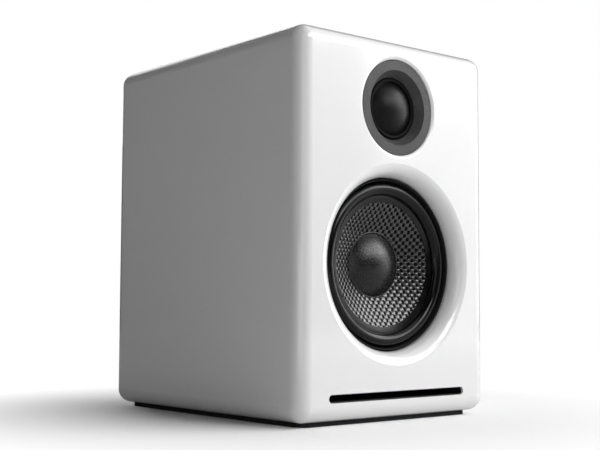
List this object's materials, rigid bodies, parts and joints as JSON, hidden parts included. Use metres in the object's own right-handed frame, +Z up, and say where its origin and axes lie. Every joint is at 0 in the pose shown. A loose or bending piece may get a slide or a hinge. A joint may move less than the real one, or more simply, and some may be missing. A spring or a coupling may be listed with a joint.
{
  "type": "bookshelf loudspeaker",
  "caption": "Small white two-way bookshelf loudspeaker with recessed woven-cone woofer, dome tweeter, slot port at the foot, foam base pad and rear binding posts.",
  "frame": {"origin": "middle of the base pad's underside, on the desk; under the cabinet's centre", "axes": "+Z up, front of the speaker faces -Y, +X is to the right of someone facing the speaker"},
  "size_m": [0.103, 0.1493, 0.1518],
  "materials": {
    "front_baffle": "white lacquer on MDF, satin gloss",
    "rear_panel": "white lacquer on MDF, satin gloss",
    "left_side": "white lacquer on MDF, satin gloss",
    "right_side": "white lacquer on MDF, satin gloss",
    "top_panel": "white lacquer on MDF, satin gloss",
    "bottom_panel": "white lacquer on MDF, satin gloss",
    "port_duct": "black moulded plastic",
    "base_pad": "black foam rubber",
    "wadding": "loose white fibre",
    "woofer_gasket": "black foam ring",
    "woofer_surround": "matt black rubber",
    "woofer_cone": "coarse grey and black weave under clear resin",
    "woofer_dust_cap": "fine black cloth",
    "woofer_former": "amber polyimide film",
    "woofer_voice_coil": "enamelled copper wire",
    "woofer_spider": "resin-dipped cotton",
    "woofer_basket": "black powder coat on pressed steel",
    "woofer_top_plate": "zinc plated",
    "woofer_magnet": "ferrite, ground",
    "woofer_pole_yoke": "zinc plated",
    "woofer_terminal_strip": "paper laminate",
    "woofer_tags": "tinned brass",
    "woofer_tinsel_leads": "braided tinsel",
    "woofer_screws": "black zinc",
    "tweeter_faceplate": "dark grey, fine grain",
    "tweeter_gasket": "black foam ring",
    "tweeter_surround": "coated black silk",
    "tweeter_dome": "coated black silk",
    "tweeter_former": "thin foil",
    "tweeter_voice_coil": "enamelled wire",
    "tweeter_felt": "grey felt",
    "tweeter_pole_disc": "zinc plated",
    "tweeter_magnet": "nickel plated neodymium",
    "tweeter_cup": "zinc plated",
    "tweeter_housing": "black moulded plastic",
    "tweeter_tags": "tinned brass",
    "terminal_plate": "black moulded plastic",
    "terminal_gasket": "black foam ring",
    "terminal_screws": "black zinc",
    "post_stud_red": "gold plated",
    "post_stud_black": "gold plated",
    "post_collar_red": "red moulded plastic",
    "post_collar_black": "black moulded plastic",
    "post_insert_red": "gold plated",
    "post_insert_black": "gold plated",
    "post_cap_red": "red moulded plastic",
    "post_cap_black": "black moulded plastic",
    "post_nuts": "nickel plated",
    "post_spacers": "turned brass",
    "crossover_board": "green solder mask",
    "inductor_core": "ferrite drum",
    "inductor_coil": "enamelled copper wire",
    "film_capacitor": "dark red resin box",
    "electrolytic_capacitor": "dark blue sleeve",
    "cement_resistor": "white cement",
    "woofer_lead_red": "red insulated wire",
    "woofer_lead_black": "black insulated wire",
    "tweeter_lead_red": "red insulated wire",
    "tweeter_lead_black": "black insulated wire"
  },
  "bodies": {
    "cabinet": {"front_baffle": "front_baffle", "rear_panel": "rear_panel", "left_side": "left_side", "right_side": "right_side", "top_panel": "top_panel", "bottom_panel": "bottom_panel", "port_duct": "port_duct", "base_pad": "base_pad", "wadding": "wadding", "woofer_gasket": "woofer_gasket", "woofer_surround": "woofer_surround", "woofer_spider": "woofer_spider", "woofer_basket": "woofer_basket", "woofer_top_plate": "woofer_top_plate", "woofer_magnet": "woofer_magnet", "woofer_pole_yoke": "woofer_pole_yoke", "woofer_terminal_strip": "woofer_terminal_strip", "woofer_tags": "woofer_tags", "woofer_tinsel_leads": "woofer_tinsel_leads", "woofer_screws": "woofer_screws", "tweeter_faceplate": "tweeter_faceplate", "tweeter_gasket": "tweeter_gasket", "tweeter_surround": "tweeter_surround", "tweeter_felt": "tweeter_felt", "tweeter_pole_disc": "tweeter_pole_disc", "tweeter_magnet": "tweeter_magnet", "tweeter_cup": "tweeter_cup", "tweeter_housing": "tweeter_housing", "tweeter_tags": "tweeter_tags", "terminal_plate": "terminal_plate", "terminal_gasket": "terminal_gasket", "terminal_screws": "terminal_screws", "post_stud_red": "post_stud_red", "post_stud_black": "post_stud_black", "post_collar_red": "post_collar_red", "post_collar_black": "post_collar_black", "post_nuts": "post_nuts", "post_spacers": "post_spacers", "crossover_board": "crossover_board", "inductor_core": "inductor_core", "inductor_coil": "inductor_coil", "film_capacitor": "film_capacitor", "electrolytic_capacitor": "electrolytic_capacitor", "cement_resistor": "cement_resistor", "woofer_lead_red": "woofer_lead_red", "woofer_lead_black": "woofer_lead_black", "tweeter_lead_red": "tweeter_lead_red", "tweeter_lead_black": "tweeter_lead_black"},
    "woofer_cone_assembly": {"woofer_cone": "woofer_cone", "woofer_dust_cap": "woofer_dust_cap", "woofer_former": "woofer_former", "woofer_voice_coil": "woofer_voice_coil"},
    "tweeter_dome_assembly": {"tweeter_dome": "tweeter_dome", "tweeter_former": "tweeter_former", "tweeter_voice_coil": "tweeter_voice_coil"},
    "red_insert": {"post_insert_red": "post_insert_red"},
    "red_cap": {"post_cap_red": "post_cap_red"},
    "black_insert": {"post_insert_black": "post_insert_black"},
    "black_cap": {"post_cap_black": "post_cap_black"}
  },
  "joints": [
    {"name": "woofer_excursion", "type": "slide", "parent": "cabinet", "child": "woofer_cone_assembly", "axis": [0, -1, 0], "range_m": [-0.003, 0.003], "stiffness_N_per_m": 900, "deforming": ["woofer_surround", "woofer_spider", "woofer_tinsel_leads"]},
    {"name": "tweeter_excursion", "type": "slide", "parent": "cabinet", "child": "tweeter_dome_assembly", "axis": [0, -1, 0], "range_m": [-0.0003, 0.0003], "stiffness_N_per_m": 100, "deforming": ["tweeter_surround"]},
    {"name": "red_post_travel", "type": "slide", "parent": "cabinet", "child": "red_insert", "axis": [0, 1, 0], "range_m": [0, 0.004]},
    {"name": "red_post_turn", "type": "hinge", "parent": "red_insert", "child": "red_cap", "pos_m": [0.0095, 0.0755, 0.054], "axis": [0, 1, 0], "range_deg": [0, 1800]},
    {"name": "black_post_travel", "type": "slide", "parent": "cabinet", "child": "black_insert", "axis": [0, 1, 0], "range_m": [0, 0.004]},
    {"name": "black_post_turn", "type": "hinge", "parent": "black_insert", "child": "black_cap", "pos_m": [-0.0095, 0.0755, 0.054], "axis": [0, 1, 0], "range_deg": [0, 1800]}
  ],
  "couplings": [
    {"joint": "red_post_turn", "follows": "red_post_travel", "rad_per_m": 7854},
    {"joint": "black_post_turn", "follows": "black_post_travel", "rad_per_m": 7854}
  ]
}
